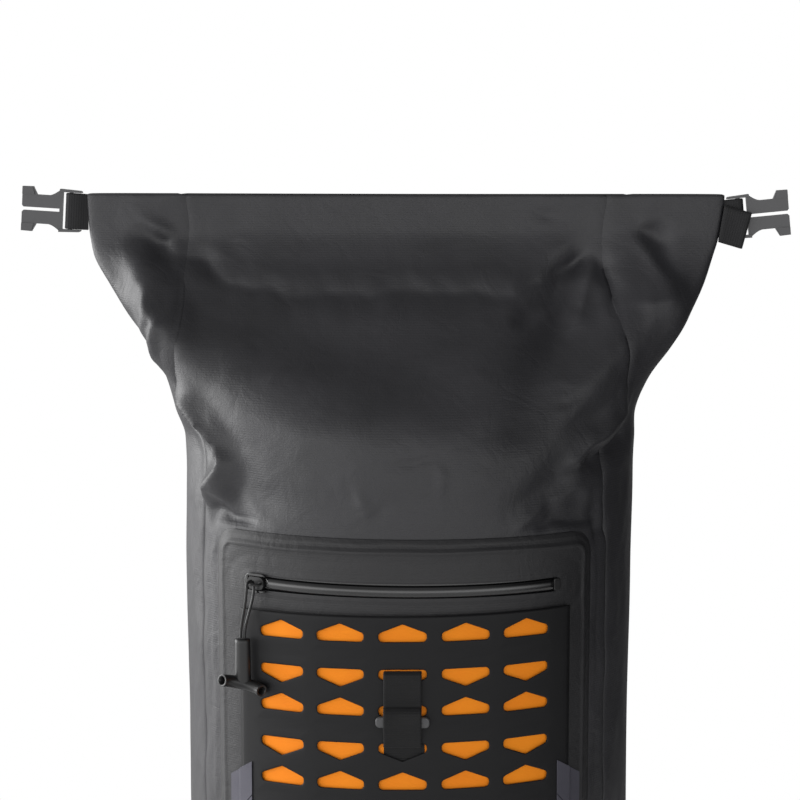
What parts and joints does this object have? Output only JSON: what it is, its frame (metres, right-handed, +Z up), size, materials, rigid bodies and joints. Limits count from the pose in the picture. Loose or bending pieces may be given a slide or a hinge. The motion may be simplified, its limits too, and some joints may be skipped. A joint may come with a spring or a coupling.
{
  "type": "rolltop backpack",
  "caption": "Waterproof rolltop backpack in charcoal coated cloth, standing unrolled, with a zipped front pocket and a black slotted lash panel over orange.",
  "frame": {"origin": "middle of the flat base, on the surface that it stands on", "axes": "+Z up, the front with the pocket faces -Y, +X is to the right as seen from the front"},
  "size_m": [0.5129, 0.2997, 0.6858],
  "materials": {
    "shell_cloth": "charcoal coated cloth with a fine weave, semi-gloss",
    "zip_black": "glossy black moulded zip and pull",
    "webbing_black": "black ribbed webbing",
    "orange_sheet": "smooth matt orange coated sheet",
    "lash_sheet": "smooth black coated sheet, cut with slots",
    "reflective_tape": "grey reflective tape",
    "clip_plastic": "dark grey moulded plastic, satin",
    "pad_mesh": "black spacer mesh over foam"
  },
  "bodies": {
    "root": {"front_panel": "shell_cloth", "back_panel": "shell_cloth", "gusset_left": "shell_cloth", "gusset_right": "shell_cloth", "base_panel": "shell_cloth", "pocket_panel": "shell_cloth", "zip_tape": "zip_black", "zip_bead": "zip_black", "zip_stop": "zip_black", "zip_garage": "zip_black", "zip_slider": "zip_black", "pull_cord": "webbing_black", "pull_grip": "zip_black", "orange_backing": "orange_sheet", "lash_panel": "lash_sheet", "reflective_left": "reflective_tape", "reflective_right": "reflective_tape", "keeper_bar": "clip_plastic", "keeper_strap": "webbing_black", "tab_left": "webbing_black", "tab_right": "webbing_black", "tab_fold_right": "webbing_black", "clip_left": "clip_plastic", "clip_right": "clip_plastic", "side_strap_left": "webbing_black", "side_strap_right": "webbing_black", "socket_left": "clip_plastic", "socket_right": "clip_plastic", "back_pad": "pad_mesh", "yoke": "shell_cloth", "shoulder_strap_left": "pad_mesh", "shoulder_strap_right": "pad_mesh", "ladder_lock_left": "clip_plastic", "ladder_lock_right": "clip_plastic", "lower_webbing_left": "webbing_black", "lower_webbing_right": "webbing_black", "haul_loop": "webbing_black"}
  },
  "joints": []
}
